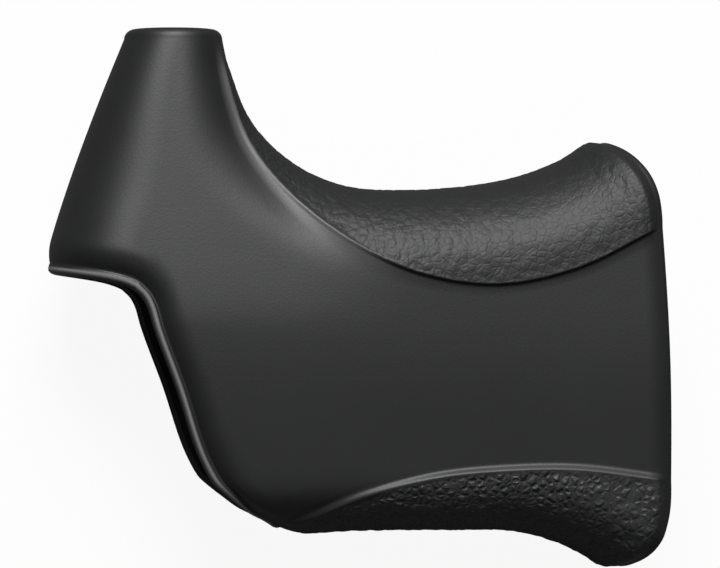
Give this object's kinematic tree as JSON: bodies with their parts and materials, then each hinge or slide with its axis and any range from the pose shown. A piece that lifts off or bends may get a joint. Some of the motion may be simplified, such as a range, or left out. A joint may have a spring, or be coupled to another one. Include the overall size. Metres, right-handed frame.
{
  "type": "brake lever hood",
  "caption": "Black rubber hood for a drop-bar brake lever: a hollow sleeve with a closed horn, a saddle for the hand, raised grip zones and open rear and front.",
  "frame": {"origin": "middle of the bounding box seen from above, at the height of the surface the hood lies on", "axes": "the hood lies on its side: +X from the horn to the handlebar end, +Y from the belly to the top of the horn, +Z across the hood"},
  "size_m": [0.0946, 0.0832, 0.0319],
  "materials": {
    "rubber": "matte moulded rubber, grained on the grip zones"
  },
  "bodies": {
    "root": {"hood_sleeve": "rubber"}
  },
  "joints": []
}
